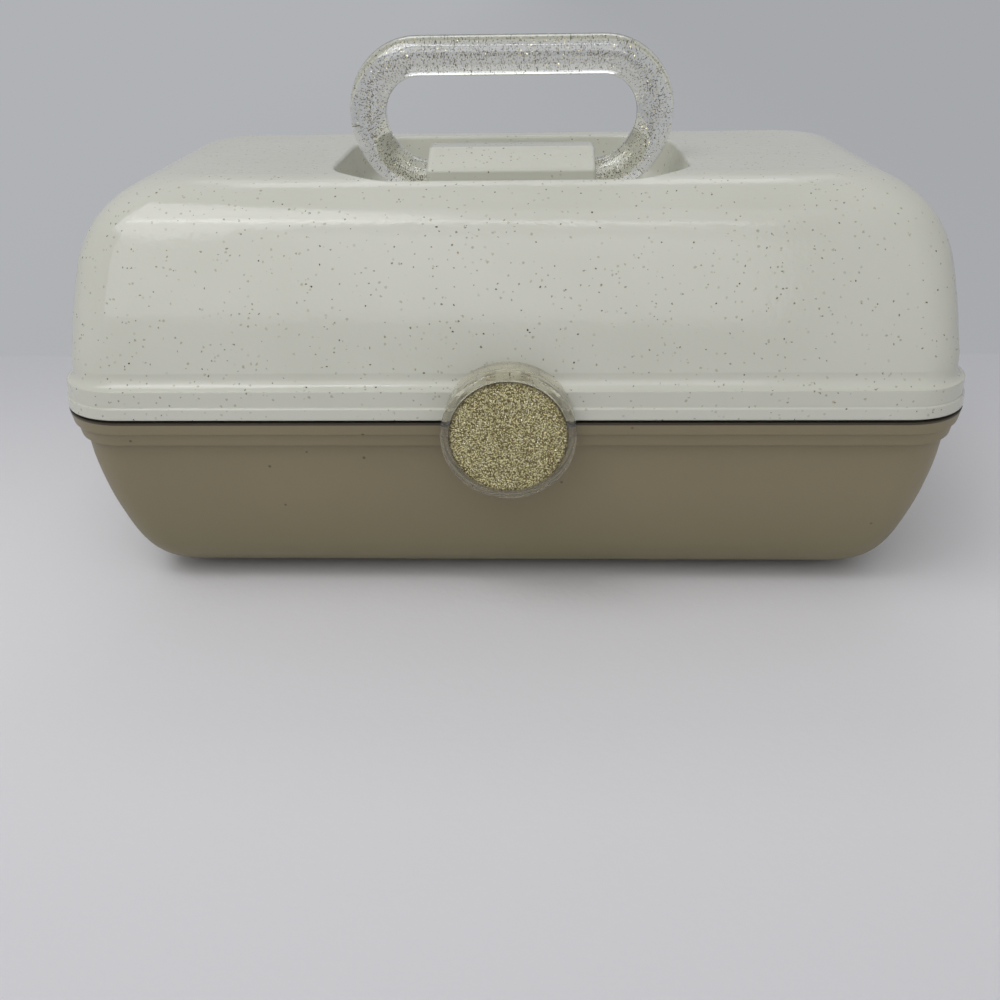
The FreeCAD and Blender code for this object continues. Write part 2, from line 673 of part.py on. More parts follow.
def fillet(body, name, radius, wanted):
    """Round the edges of the body's tip that a test picks out."""
    base = body.Tip
    names = [f"Edge{index}" for index, edge in enumerate(base.Shape.Edges, start=1) if wanted(edge)]
    feature = body.newObject("PartDesign::Fillet", name)
    feature.Base = (base, names)
    feature.setExpression("Radius", radius)
    doc.recompute()
    return feature


def new_body(label):
    return keep(doc.addObject("PartDesign::Body", label))


def is_upright(edge):
    extent = edge.BoundBox
    return extent.ZLength > NEAR and extent.XLength < NEAR and extent.YLength < NEAR


def formula(text):
    """Expression in which every alias of the sheet carries the sheet's name."""
    return re.sub(r"[a-z_]+", lambda word: f"Sizes.{word[0]}" if hasattr(s, word[0]) else word[0], text)


# ---------------------------------------------------------------- handle


def make_handle():
    """Closed loop of round bar: grip, two sides and the pivot bar under the cap."""
    half = s.handle_width / 2
    top = s.handle_z + s.handle_reach
    y = -s.handle_setback
    shoulder = Vector(half - s.handle_shoulder, y, top - s.handle_shoulder)
    heel = Vector(half - s.handle_heel, y, s.handle_z + s.handle_heel)

    def quarter(centre, radius, start):
        points = []
        for turned in (start, start + math.pi / 4, start + math.pi / 2):
            points.append(centre + radius * Vector(math.sin(turned), 0, math.cos(turned)))
        return Part.Arc(*points).toShape()

    path = [
        Part.LineSegment(Vector(0, y, top), Vector(shoulder.x, y, top)).toShape(),
        quarter(shoulder, s.handle_shoulder, 0),
        Part.LineSegment(Vector(half, y, shoulder.z), Vector(half, y, heel.z)).toShape(),
        quarter(heel, s.handle_heel, math.pi / 2),
        Part.LineSegment(Vector(heel.x, y, s.handle_z), Vector(0, y, s.handle_z)).toShape(),
    ]
    section = Part.Wire(Part.makeCircle(s.grip_diameter / 2, Vector(0, y, top), Vector(1, 0, 0)))
    right = Part.Wire(path).makePipeShell([section], True, False)
    left = right.mirror(Vector(), Vector(1, 0, 0))
    return keep_shape("handle", right.fuse(left))


def make_handle_cap():
    """Bridge over the pivot bar, with a brow that slopes to the front."""
    body = new_body("handle_cap")
    front = formula("-handle_setback - cap_front")
    back = formula("-handle_setback + cap_back")
    floor = formula("recess_floor")
    top = formula("handle_z + cap_height")
    corners = [
        (front, floor),
        (front, formula("handle_z + cap_height - cap_brow")),
        (formula("-handle_setback + cap_crest"), top),
        (back, top),
        (back, floor),
    ]
    profile = polygon(body, "profile", "YZ_Plane", corners)
    extrude(body, "Pad", "block", profile, formula("cap_width"), both_ways=True)
    fillet(body, "rounds", formula("cap_round"),
           lambda edge: is_upright(edge) or edge.BoundBox.ZMin > s.handle_z)
    axis = (formula("-handle_setback"), formula("handle_z"))
    channel = circle(body, "channel", "YZ_Plane", axis, formula("grip_diameter / 2 + piece_gap / 2"))
    extrude(body, "Pocket", "bar_channel", channel, formula("2 * cap_width"), both_ways=True)
    side = "grip_diameter / 2 + piece_gap / 2"
    slot = rectangle(body, "slot", "YZ_Plane", formula(f"-handle_setback - ({side})"),
                     formula(f"-handle_setback + {side}"), formula("recess_floor - wall"), axis[1])
    extrude(body, "Pocket", "saddle_slot", slot, formula("2 * cap_width"), both_ways=True)
    for name, x in (("left_pilot", "-cap_screw_spread / 2"), ("right_pilot", "cap_screw_spread / 2")):
        place = (formula(x), formula("cap_back - handle_setback - cap_screw_inset"))
        pilot = circle(body, name, "XY_Plane", place, formula("screw_diameter / 2"), floor)
        extrude(body, "Pocket", name + "_hole", pilot, formula("screw_length - wall + piece_gap"),
                backwards=True)


def screws(label, places, seat):
    """Group of small screws whose heads sit under a face at the given height."""
    bodies = []
    for place in places:
        shank = rod_z(place, s.screw_diameter / 2, seat, seat + s.screw_length)
        head = rod_z(place, s.screw_head / 2, seat - s.screw_head_height, seat)
        rim = [edge for edge in head.Edges if edge.BoundBox.ZMax < seat - NEAR]
        head = head.makeChamfer(s.screw_head_height / 3, rim)
        bar = s.screw_slot_length / 2
        half = s.screw_slot / 2
        levels = (-s.screw_head_height - OVERLAP, s.screw_slot_depth - s.screw_head_height)
        slots = []
        for turned in (0, 90):
            slot = box((-bar, bar), (-half, half), levels)
            slot.rotate(Vector(), Vector(0, 0, 1), turned)
            slot.translate(Vector(*place, seat))
            slots.append(slot)
        bodies.append(shank.fuse(head).cut(slots[0].fuse(slots[1])))
    return keep_shape(label, Part.makeCompound(bodies))


# ---------------------------------------------------------------- pins and rivets


def cylinder_x(label, radius, x_from, length, y, z):
    """Cylinder along X from formulas for its size and place."""
    rod = doc.addObject("Part::Cylinder", label)
    rod.setExpression("Radius", formula(radius))
    rod.setExpression("Height", formula(length))
    rod.Placement.Rotation = FreeCAD.Rotation(Vector(0, 1, 0), 90)
    rod.setExpression("Placement.Base.x", formula(x_from))
    rod.setExpression("Placement.Base.y", formula(y))
    rod.setExpression("Placement.Base.z", formula(z))
    return rod


def rivet(label, side, shank, head, y, z):
    """Headed pin between two X stations, given for the right side and mirrored for the left."""
    parts = []
    pieces = (("shank", "rivet_diameter / 2", shank), ("head", "rivet_head / 2", head))
    for name, radius, (low, high) in pieces:
        length = f"({high}) - ({low})"
        start = f"{low}" if side > 0 else f"-({high})"
        parts.append(cylinder_x(f"{label}_{name}", radius, start, length, y, z))
    whole = doc.addObject("Part::MultiFuse", label)
    whole.Shapes = parts
    return keep(whole)


def make_pins():
    for name, side in SIDES.items():
        start = f"{side} * hinge_spread / 2 - hinge_length / 2"
        keep(cylinder_x(f"hinge_pin_{name}", "hinge_pin / 2", start, "hinge_length", "hinge_y", "seam"))
        play = "piece_gap / 2"
        rivet(f"arm_base_rivet_{name}", side,
              (f"arm_inner - {play}", "inner_side + wall / 4"),
              (f"arm_inner - {play} - rivet_head_height", f"arm_inner - {play}"),
              "base_pivot_y", "base_pivot_z")
        rivet(f"arm_tray_rivet_{name}", side,
              ("tray_side - tray_wall", f"arm_outer + {play}"),
              (f"arm_outer + {play}", f"arm_outer + {play} + rivet_head_height"),
              "tray_pivot_y", "tray_pivot_z")
        rivet(f"tray_lid_rivet_{name}", side,
              (f"tray_side - tray_wall - {play}", "case_width / 2 - lid_side_inset - wall + wall / 4"),
              (f"tray_side - tray_wall - {play} - rivet_head_height", f"tray_side - tray_wall - {play}"),
              "lid_pivot_y", "lid_pivot_z")
    half = "(latch_ear / 2 + piece_gap + latch_lug)"
    keep(cylinder_x("latch_pin", "latch_pin / 2", f"-{half}", f"2 * {half}",
                    "latch_pivot_y", "latch_pivot_z"))


# ---------------------------------------------------------------- latch


def make_latch_body():
    """Clear disc with a grooved skirt, hollow behind, hung from two lugs at its top."""
    centre = (0, s.latch_z)
    radius = s.latch_diameter / 2
    groove_y = (s.latch_face + s.latch_back) / 2
    groove = (groove_y - s.latch_groove_width / 2, groove_y + s.latch_groove_width / 2)
    crown_y = -s.case_depth / 2 + s.latch_crown
    plate_back = s.latch_face + s.inlay_recess + s.inlay_thickness + s.latch_plate
    rear = rod_y(centre, radius, groove[1], crown_y)
    crown_from = s.latch_pivot_z - s.latch_ear_radius - s.piece_gap
    below = box((-radius - OVERLAP, radius + OVERLAP), (s.latch_back, crown_y + OVERLAP),
                (s.latch_z - radius - OVERLAP, crown_from))
    rear = rear.cut(below)
    face = rod_y(centre, radius, s.latch_face, groove[0])
    face = round_edges(face, s.latch_round, lambda edge: edge.BoundBox.YMax < s.latch_face + NEAR)
    neck = rod_y(centre, radius - s.latch_groove, groove[0] - OVERLAP, groove[1] + OVERLAP)
    disc = face.multiFuse([neck, rear])
    disc = disc.cut(rod_y(centre, radius - s.latch_skirt, plate_back, crown_y + OVERLAP))
    disc = disc.cut(rod_y(centre, s.inlay_diameter / 2 + s.piece_gap / 3, s.latch_face - OVERLAP,
                          plate_back - s.latch_plate))
    y, z = LATCH_PIVOT
    lug_radius = s.latch_ear_radius - s.piece_gap
    inner = s.latch_ear / 2 + s.piece_gap
    additions = []
    for side in SIDES.values():
        x_range = sorted((side * inner, side * (inner + s.latch_lug)))
        additions.append(rod_x(LATCH_PIVOT, lug_radius, *x_range))
        additions.append(box(x_range, (plate_back - OVERLAP / 2, y), (z - lug_radius, z + lug_radius)))
    nose_low = s.base_rim - 2 * s.base_band + s.piece_gap
    nose_half = s.keeper_width / 2 - OVERLAP
    additions.append(box((-nose_half, nose_half), (plate_back - OVERLAP / 2, s.latch_back),
                         (nose_low, nose_low + s.keeper_height - OVERLAP)))
    disc = disc.multiFuse(additions)
    bore_end = inner + s.latch_lug + OVERLAP
    bore = rod_x(LATCH_PIVOT, s.latch_pin / 2 + s.pin_gap, -bore_end, bore_end)
    return keep_shape("latch_body", disc.cut(bore))


def make_latch_inlay():
    inlay = doc.addObject("Part::Cylinder", "latch_inlay")
    inlay.setExpression("Radius", formula("inlay_diameter / 2"))
    inlay.setExpression("Height", formula("inlay_thickness"))
    inlay.Placement.Rotation = FreeCAD.Rotation(Vector(1, 0, 0), 90)
    inlay.setExpression("Placement.Base.y", formula("latch_face + inlay_recess + inlay_thickness"))
    inlay.setExpression("Placement.Base.z", formula("latch_z"))
    return keep(inlay)


# ---------------------------------------------------------------- tray and its arms


def make_arm(name, side):
    """Flat link with a round eye at each end, from the base to the tray."""
    body = new_body(f"tray_arm_{name}")
    sketch = new_sketch(body, "outline", "XY_Plane")
    right_angle = math.pi / 2
    radius = s.arm_width / 2
    reach = math.hypot(s.link_reach, s.link_rise)
    far_end = Vector(reach, 0, 0)
    up = Vector(0, radius, 0)
    near_circle = Part.Circle(Vector(), Vector(0, 0, 1), radius)
    far_circle = Part.Circle(far_end, Vector(0, 0, 1), radius)
    sketch.addGeometry(Part.ArcOfCircle(near_circle, right_angle, 3 * right_angle))
    sketch.addGeometry(Part.LineSegment(-up, far_end - up))
    sketch.addGeometry(Part.ArcOfCircle(far_circle, -right_angle, right_angle))
    sketch.addGeometry(Part.LineSegment(far_end + up, up))
    for first, first_end, second, second_end in ((0, 2, 1, 1), (1, 2, 2, 1), (2, 2, 3, 1), (3, 2, 0, 1)):
        sketch.addConstraint(Sketcher.Constraint("Tangent", first, first_end, second, second_end))
    sketch.addConstraint(Sketcher.Constraint("Coincident", 0, 3, -1, 1))
    sketch.addConstraint(Sketcher.Constraint("PointOnObject", 2, 3, -1))
    bind(sketch, "DistanceX", (-1, 1), (2, 3), reach, formula("sqrt(link_reach ^ 2 + link_rise ^ 2)"))
    for arc, width in ((0, "arm_width"), (2, "arm_tray_width")):
        index = sketch.addConstraint(Sketcher.Constraint("Radius", arc, radius))
        sketch.setExpression(f"Constraints[{index}]", formula(f"{width} / 2"))
    extrude(body, "Pad", "link", sketch, formula("arm_thickness"))
    base_eye = circle(body, "base_eye", "XY_Plane", ("0", "0"), formula("rivet_diameter / 2 + pin_gap"))
    extrude(body, "Pocket", "base_bore", base_eye, formula("arm_thickness"), backwards=True)
    far = (formula("sqrt(link_reach ^ 2 + link_rise ^ 2)"), "0")
    tray_eye = circle(body, "tray_eye", "XY_Plane", far, formula("rivet_diameter / 2 + piece_gap"))
    extrude(body, "Pocket", "tray_bore", tray_eye, formula("arm_thickness"), backwards=True)
    along = Vector(0, -s.link_reach, s.link_rise).normalize()
    outward = Vector(1, 0, 0)
    turn = FreeCAD.Rotation(along, outward.cross(along), outward, "XYZ")
    start = s.arm_inner if side > 0 else -s.arm_outer
    body.Placement = FreeCAD.Placement(Vector(start, *BASE_PIVOT), turn)


def tray_wells():
    """X and Y ranges of the two front and three rear compartments."""
    left = -s.tray_side + s.tray_wall
    right = s.tray_side - s.tray_wall
    front = (s.tray_front + s.tray_wall, s.tray_row)
    rear = (s.tray_row + s.tray_wall, s.tray_back - s.tray_wall)
    half_wall = s.tray_wall / 2
    wells = [((left, s.front_split - half_wall), front), ((s.front_split + half_wall, right), front)]
    third = (right - left - 2 * s.tray_wall) / 3
    for number in range(3):
        start = left + number * (third + s.tray_wall)
        wells.append(((start, start + third), rear))
    return wells


def make_tray():
    """Shallow tray with two front and three rear compartments and four pivot bosses."""
    brim = s.tray_bottom + s.tray_height

    def block(inset, z_range, corner):
        x_range = (-s.tray_side + inset, s.tray_side - inset)
        y_range = (s.tray_front + inset, s.tray_back - inset)
        return loft([rounded_rectangle(x_range, y_range, corner, z) for z in z_range])

    tray = block(0, (s.tray_bottom, brim), s.tray_corner)
    tray = round_edges(tray, 2 * s.tray_wall, lambda edge: edge.BoundBox.ZMax < s.tray_bottom + NEAR)
    floor = s.tray_bottom + s.tray_wall
    inner_corner = s.tray_corner - s.tray_wall
    inside = block(s.tray_wall, (floor, brim + OVERLAP), inner_corner)
    cuts = [block(s.tray_wall, (brim - s.divider_drop, brim + OVERLAP), inner_corner)]
    for x_range, y_range in tray_wells():
        well = loft([rounded_rectangle(x_range, y_range, s.well_corner, z) for z in (floor, brim)])
        well = well.common(inside)
        cuts.append(round_edges(well, s.tray_wall, lambda edge: edge.BoundBox.ZMax < floor + NEAR))
    for cut in cuts:
        tray = tray.cut(cut)
    bosses = []
    bores = []
    for side in SIDES.values():
        for pivot in (LID_PIVOT, TRAY_PIVOT):
            play = s.pin_gap if pivot == LID_PIVOT else 0
            boss_start = s.tray_side - s.tray_wall / 2
            boss_end = s.tray_side + s.tray_side_gap - s.piece_gap
            bore_start = s.tray_side - 2 * s.tray_wall
            bore_end = boss_end + OVERLAP
            bosses.append(rod_x(pivot, s.boss_diameter / 2, side * boss_start, side * boss_end))
            bores.append(rod_x(pivot, s.rivet_diameter / 2 + play, side * bore_start, side * bore_end))
    tray = tray.multiFuse(bosses).cut(Part.makeCompound(bores))
    return keep_shape("tray", tray)


# ---------------------------------------------------------------- mirror


def make_mirror_frame():
    body = new_body("mirror_frame")
    top = formula("frame_top")
    outline = rectangle(body, "outline", "XY_Plane", formula("-frame_width / 2"), formula("frame_width / 2"),
                        formula("-frame_depth / 2"), formula("frame_depth / 2"), top)
    extrude(body, "Pad", "plate", outline, formula("frame_height"), backwards=True)
    fillet(body, "corners", formula("frame_corner"), is_upright)
    seat = rectangle(body, "seat", "XY_Plane", formula("-mirror_width / 2 - pin_gap"),
                     formula("mirror_width / 2 + pin_gap"), formula("-mirror_depth / 2 - pin_gap"),
                     formula("mirror_depth / 2 + pin_gap"), top)
    extrude(body, "Pocket", "glass_seat", seat, formula("mirror_thickness"))
    window = rectangle(body, "window", "XY_Plane", formula("frame_bar - frame_width / 2"),
                       formula("frame_width / 2 - frame_bar"), formula("frame_bar - frame_depth / 2"),
                       formula("frame_depth / 2 - frame_bar"), top)
    extrude(body, "Pocket", "window_cut", window, formula("2 * frame_height"))
    under = formula("frame_top - frame_height")
    for index, (x, y) in enumerate(frame_screw_places()):
        sign_x = "-" if x < 0 else ""
        sign_y = "-" if y < 0 else ""
        centre = (formula(f"{sign_x}(frame_width / 2 - frame_bar / 2)"),
                  formula(f"{sign_y}(frame_depth / 2 - frame_bar / 2)"))
        radius = formula("screw_diameter / 2 + pin_gap")
        hole = circle(body, f"hole_{index}", "XY_Plane", centre, radius, under)
        extrude(body, "Pocket", f"hole_cut_{index}", hole, formula("2 * frame_height"), backwards=True)
        radius = formula("screw_head / 2 + piece_gap / 2")
        sink = circle(body, f"sink_{index}", "XY_Plane", centre, radius, under)
        depth = formula("screw_head_height + piece_gap")
        extrude(body, "Pocket", f"sink_cut_{index}", sink, depth, backwards=True)


def make_mirror_glass():
    glass = doc.addObject("Part::Box", "mirror_glass")
    glass.setExpression("Length", formula("mirror_width"))
    glass.setExpression("Width", formula("mirror_depth"))
    glass.setExpression("Height", formula("mirror_thickness"))
    glass.setExpression("Placement.Base.x", formula("-mirror_width / 2"))
    glass.setExpression("Placement.Base.y", formula("-mirror_depth / 2"))
    glass.setExpression("Placement.Base.z", formula("frame_top - mirror_thickness"))
    return keep(glass)


make_base_shell()
make_lid_shell()
make_handle()
make_handle_cap()
screws("cap_screws", cap_screw_places(), s.recess_floor - s.wall)
make_latch_body()
make_latch_inlay()
make_pins()
for arm_name, arm_side in SIDES.items():
    make_arm(arm_name, arm_side)
make_tray()
make_mirror_frame()
make_mirror_glass()
mirror_seat = s.frame_top - s.frame_height + s.screw_head_height + s.piece_gap
screws("mirror_screws", frame_screw_places(), mirror_seat)

doc.recompute()
for item in doc.Objects:
    if "Invalid" in item.State or "Error" in item.State:
        raise RuntimeError(f"{item.Label}: {item.State}")
for item in nodes:
    if item.Shape.isNull() or not item.Shape.isValid() or not item.Shape.Solids:
        raise RuntimeError(f"{item.Label}: shape isn't valid")

os.makedirs("parts", exist_ok=True)
for item in nodes:
    item.Shape.exportStep(os.path.join("parts", f"{item.Label}.step"))
    extent = item.Shape.BoundBox
    print(f"{item.Label}: {len(item.Shape.Solids)} solid, {item.Shape.Volume / 1000:.2f} cm3, "
          f"x {extent.XMin:.1f}..{extent.XMax:.1f} y {extent.YMin:.1f}..{extent.YMax:.1f} "
          f"z {extent.ZMin:.1f}..{extent.ZMax:.1f}")
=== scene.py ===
import math
import random

import bpy
from mathutils import Matrix, Vector


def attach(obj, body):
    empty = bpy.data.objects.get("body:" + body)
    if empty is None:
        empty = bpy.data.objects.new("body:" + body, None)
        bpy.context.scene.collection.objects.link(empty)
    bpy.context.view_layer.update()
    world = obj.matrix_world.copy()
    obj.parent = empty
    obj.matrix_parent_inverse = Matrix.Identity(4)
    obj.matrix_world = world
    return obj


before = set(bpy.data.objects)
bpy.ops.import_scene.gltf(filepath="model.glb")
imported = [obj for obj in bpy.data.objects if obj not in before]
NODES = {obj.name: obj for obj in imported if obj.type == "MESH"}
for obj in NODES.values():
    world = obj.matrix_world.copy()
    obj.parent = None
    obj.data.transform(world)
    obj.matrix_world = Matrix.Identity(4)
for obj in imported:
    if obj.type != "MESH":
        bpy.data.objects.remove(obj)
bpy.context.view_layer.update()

# Makeup storage case: materials, flakes inside the clear handle, floor, light and camera.
# Lengths are in metres and angles in radians, unless a name says otherwise.

# ---------------------------------------------------------------- camera

CAMERA_PLACE = Vector((0.0080, -0.4280, 0.2196))
CAMERA_YAW = -0.0355
CAMERA_PITCH = 0.4886
CAMERA_ROLL = -0.0152
CAMERA_NEAR = 0.01
SENSOR_MM = 36.0
FOCAL_RATIO = 1.00066


def make_camera():
    """Camera that looks down on the case from close in front."""
    forward = Vector((math.sin(CAMERA_YAW) * math.cos(CAMERA_PITCH),
                      math.cos(CAMERA_YAW) * math.cos(CAMERA_PITCH),
                      -math.sin(CAMERA_PITCH)))
    level = Vector((math.cos(CAMERA_YAW), -math.sin(CAMERA_YAW), 0.0))
    upright = level.cross(forward)
    right = level * math.cos(CAMERA_ROLL) + upright * math.sin(CAMERA_ROLL)
    up = upright * math.cos(CAMERA_ROLL) - level * math.sin(CAMERA_ROLL)
    data = bpy.data.cameras.new("camera")
    data.sensor_width = SENSOR_MM
    data.lens = SENSOR_MM * FOCAL_RATIO
    data.clip_start = CAMERA_NEAR
    camera = bpy.data.objects.new("camera", data)
    bpy.context.scene.collection.objects.link(camera)
    turn = Matrix((right, up, -forward)).transposed().to_4x4()
    camera.matrix_world = Matrix.Translation(CAMERA_PLACE) @ turn
    bpy.context.scene.camera = camera


make_camera()
bpy.context.scene.view_settings.view_transform = "Standard"

# ---------------------------------------------------------------- shader nodes

BEVEL_SAMPLES = 6
# The Mix node names its sockets alike for numbers and for colours, so they are taken by index.
MIX_FIRST = 6
MIX_SECOND = 7
MIX_RESULT = 2
# So is the VectorMath node's input for a plain number.
SCALE_FACTOR = 3


class Shader:
    """A material under construction. Inputs are given as values or as other nodes' outputs."""

    def __init__(self, name):
        self.material = bpy.data.materials.new(name)
        self.material.use_nodes = True
        self.tree = self.material.node_tree
        self.tree.nodes.clear()
        self.place = self.add("TexCoord")["Object"]

    def add(self, kind, inputs=None, **settings):
        """Outputs of a new node."""
        node = self.tree.nodes.new("ShaderNode" + kind)
        for name, value in settings.items():
            setattr(node, name, value)
        for key, value in (inputs or {}).items():
            if isinstance(value, bpy.types.NodeSocket):
                self.tree.links.new(value, node.inputs[key])
            else:
                node.inputs[key].default_value = value
        return node.outputs

    def math(self, operation, *values, clamp=False):
        return self.add("Math", dict(enumerate(values)), operation=operation, use_clamp=clamp)[0]

    def vector(self, operation, *vectors):
        return self.add("VectorMath", dict(enumerate(vectors)), operation=operation)[0]

    def scaled(self, vector, factor):
        return self.add("VectorMath", {0: vector, SCALE_FACTOR: factor}, operation="SCALE")[0]

    def length(self, vector):
        return self.add("VectorMath", {0: vector}, operation="LENGTH")["Value"]

    def axes(self):
        """The place's three numbers, named X, Y and Z."""
        return self.add("SeparateXYZ", {"Vector": self.place})

    def channel(self, colour, name):
        return self.add("SeparateColor", {"Color": colour})[name]

    def ramp(self, value, low, high, start=0.0, end=1.0):
        """Smooth step from start, where the value is low, to end, where it is high."""
        inputs = {"Value": value, "From Min": low, "From Max": high, "To Min": start, "To Max": end}
        return self.add("MapRange", inputs, interpolation_type="SMOOTHSTEP")[0]

    def mix(self, factor, first, second):
        """Colour that goes from the first to the second as the factor goes from 0 to 1."""
        inputs = {0: factor, MIX_FIRST: first, MIX_SECOND: second}
        return self.add("Mix", inputs, data_type="RGBA")[MIX_RESULT]

    def noise(self, scale, detail, place=None):
        inputs = {"Vector": place or self.place, "Scale": scale, "Detail": detail}
        return self.add("TexNoise", inputs)["Fac"]

    def clouds(self, scale, detail):
        """Soft patches from 0 to 1."""
        return self.ramp(self.noise(scale, detail), 0.3, 0.7)

    def uneven(self, pattern, low, high):
        """Roughness that follows a noise pattern between two values."""
        return self.ramp(pattern, 0.2, 0.8, low, high)

    def cells(self, size, shift=0.0, place=None):
        """Distance to the middle of the nearest cell in metres, and that cell's random colour."""
        moved = self.vector("ADD", place or self.place, (shift, shift, shift))
        outputs = self.add("TexVoronoi", {"Vector": moved, "Scale": 1 / size})
        return self.math("MULTIPLY", outputs["Distance"], size), outputs["Color"]

    def dots(self, distance, cell, core, radius, share, strength=1.0):
        """Round dots in a share of the cells. They fade out from their core to their radius."""
        dot = self.ramp(distance, core, radius, start=strength, end=0.0)
        kept = self.math("LESS_THAN", self.channel(cell, "Red"), share)
        return self.math("MULTIPLY", dot, kept)

    def bump(self, height, depth, edge=0.0):
        """Relief of the given depth, over edges softened to the given radius."""
        inputs = {"Height": height, "Distance": depth}
        if edge:
            inputs["Normal"] = self.add("Bevel", {"Radius": edge}, samples=BEVEL_SAMPLES)[0]
        return self.add("Bump", inputs)[0]

    def finish(self, surface):
        self.add("OutputMaterial", {"Surface": surface})
        return self.material

    def principled(self, inputs):
        return self.finish(self.add("BsdfPrincipled", inputs)[0])


def rgb(red, green, blue):
    """Linear colour from sRGB values out of 255."""
    linear = []
    for value in (red, green, blue):
        part = value / 255
        linear.append(part / 12.92 if part <= 0.04045 else ((part + 0.055) / 1.055) ** 2.4)
    return (*linear, 1.0)


# ---------------------------------------------------------------- lid

MOULDED_EDGE = 0.0007
SPECK_WOBBLE_SCALE = 1300
SPECK_WOBBLE = 0.0010
SPECK_CORE = 0.6
# cell size, speck radius, shift of the pattern, share of cells with a speck, colour
SPECK_LAYERS = (
    (0.0027, 0.00058, 0.00, 0.42, rgb(174, 172, 154)),
    (0.0031, 0.00045, 0.31, 0.60, rgb(128, 122, 94)),
    (0.0034, 0.00039, 0.73, 0.80, rgb(66, 58, 34)),
    (0.0070, 0.00040, 1.17, 0.50, rgb(158, 136, 78)),
)


def speckled_plastic(name):
    """Glossy off-white moulding with small brown and tan specks that crowd here and there."""
    shader = Shader(name)
    colour = shader.mix(shader.clouds(scale=14, detail=3), rgb(203, 203, 191), rgb(208, 208, 197))
    wobble = shader.add("TexNoise", {"Vector": shader.place, "Scale": SPECK_WOBBLE_SCALE})["Color"]
    place = shader.vector("ADD", shader.place, shader.scaled(wobble, SPECK_WOBBLE))
    crowding = shader.ramp(shader.noise(scale=110, detail=1), 0.35, 0.65, start=0.40, end=1.60)
    for size, radius, shift, share, tone in SPECK_LAYERS:
        distance, cell = shader.cells(size, shift, place)
        crowded = shader.math("MULTIPLY", crowding, share)
        specks = shader.dots(distance, cell, radius * SPECK_CORE, radius, crowded)
        depth = shader.ramp(shader.channel(cell, "Green"), 0.0, 1.0, start=0.45, end=1.0)
        colour = shader.mix(shader.math("MULTIPLY", specks, depth), colour, tone)
    return shader.principled({
        "Base Color": colour,
        "Roughness": shader.uneven(shader.noise(scale=60, detail=4), 0.10, 0.15),
        "IOR": 1.5,
        "Normal": shader.bump(shader.noise(scale=420, detail=2), depth=0.00006, edge=MOULDED_EDGE),
    })


# ---------------------------------------------------------------- base, arms and inside

SCUFF_STRETCH = (1.0, 1.0, 12.0)
MARK_CELL = 0.012
MARK_SHIFT = 0.2
MARK_CORE = 0.0002
MARK_RADIUS = 0.0008
MARK_SHARE = 0.5
MARK_STRENGTH = 0.8
# The base's colour turns darker and greener low down; the darkening is painted shade towards the
# floor.
LOW_BAND = (0.012, 0.050)  # heights between which the base's lower tone fades out
RIM_TOP = 0.0764
RIM_CORNER = 0.026
RIM_MIDDLES = (0.1665 - RIM_CORNER, 0.1025 - RIM_CORNER, 1.0)
# Painted shadow of the seam under the lid: the outer strip of the rim's top, SEAM_DEPTH in from its
# edge, is painted dark.
SEAM_DEPTH = 0.0040
SEAM_INNER = (RIM_CORNER - SEAM_DEPTH, RIM_CORNER - SEAM_DEPTH + 0.0006)
SEAM_OUTER = (RIM_CORNER + 0.0001, RIM_CORNER + 0.0004)
SEAM_TOP = (RIM_TOP - 0.0002, RIM_TOP)


def scuffed(shader, light, dark):
    """Colour with faint clouds, level scuffs and a few small dark marks."""
    colour = shader.mix(shader.clouds(scale=9, detail=4), dark, light)
    stretched = shader.vector("MULTIPLY", shader.place, SCUFF_STRETCH)
    grain = shader.noise(scale=46, detail=5, place=stretched)
    scuffs = shader.ramp(grain, 0.66, 0.72, start=0.0, end=0.25)
    colour = shader.mix(scuffs, colour, light)
    distance, cell = shader.cells(MARK_CELL, MARK_SHIFT)
    marks = shader.dots(distance, cell, MARK_CORE, MARK_RADIUS, MARK_SHARE, MARK_STRENGTH)
    return shader.mix(marks, colour, rgb(66, 58, 40))


def toned_by_height(shader, colour):
    """The colour, greener and darker low on the base, where the darkening is painted shade, and
    dark on the outer strip of its rim's top, a painted shadow of the seam under the lid.

    RIM_MIDDLES holds the middles of the rim's round corners. The third number lies above the
    whole case, so that height plays no part in the distance from them.
    """
    height = shader.axes()["Z"]
    # Painted shade: darker and greener low on the base.
    low = shader.ramp(height, *LOW_BAND, start=0.8, end=0.0)
    colour = shader.mix(low, colour, rgb(124, 117, 88))
    # Painted shadow of the seam: dark on the outer strip of the rim's top.
    beyond = shader.vector("SUBTRACT", shader.vector("ABSOLUTE", shader.place), RIM_MIDDLES)
    reach = shader.length(shader.vector("MAXIMUM", beyond, (0.0, 0.0, 0.0)))
    inner = shader.ramp(reach, *SEAM_INNER)
    outer = shader.ramp(reach, *SEAM_OUTER, start=1.0, end=0.0)
    at_top = shader.ramp(height, *SEAM_TOP, start=0.0, end=0.85)
    seam_shadow = shader.math("MULTIPLY", shader.math("MULTIPLY", inner, outer), at_top)
    return shader.mix(seam_shadow, colour, rgb(34, 29, 20))


def satin_plastic(name, light, dark, is_base=False):
    """Moulded plastic with a fine matt grain. The base's has painted shade that changes with
    height.
    """
    shader = Shader(name)
    colour = scuffed(shader, light, dark)
    if is_base:
        colour = toned_by_height(shader, colour)
    return shader.principled({
        "Base Color": colour,
        "Roughness": shader.uneven(shader.noise(scale=35, detail=4), 0.40, 0.52),
        "IOR": 1.48,
        "Normal": shader.bump(shader.noise(scale=2600, detail=2), depth=0.00004, edge=MOULDED_EDGE),
    })


# ---------------------------------------------------------------- handle and latch

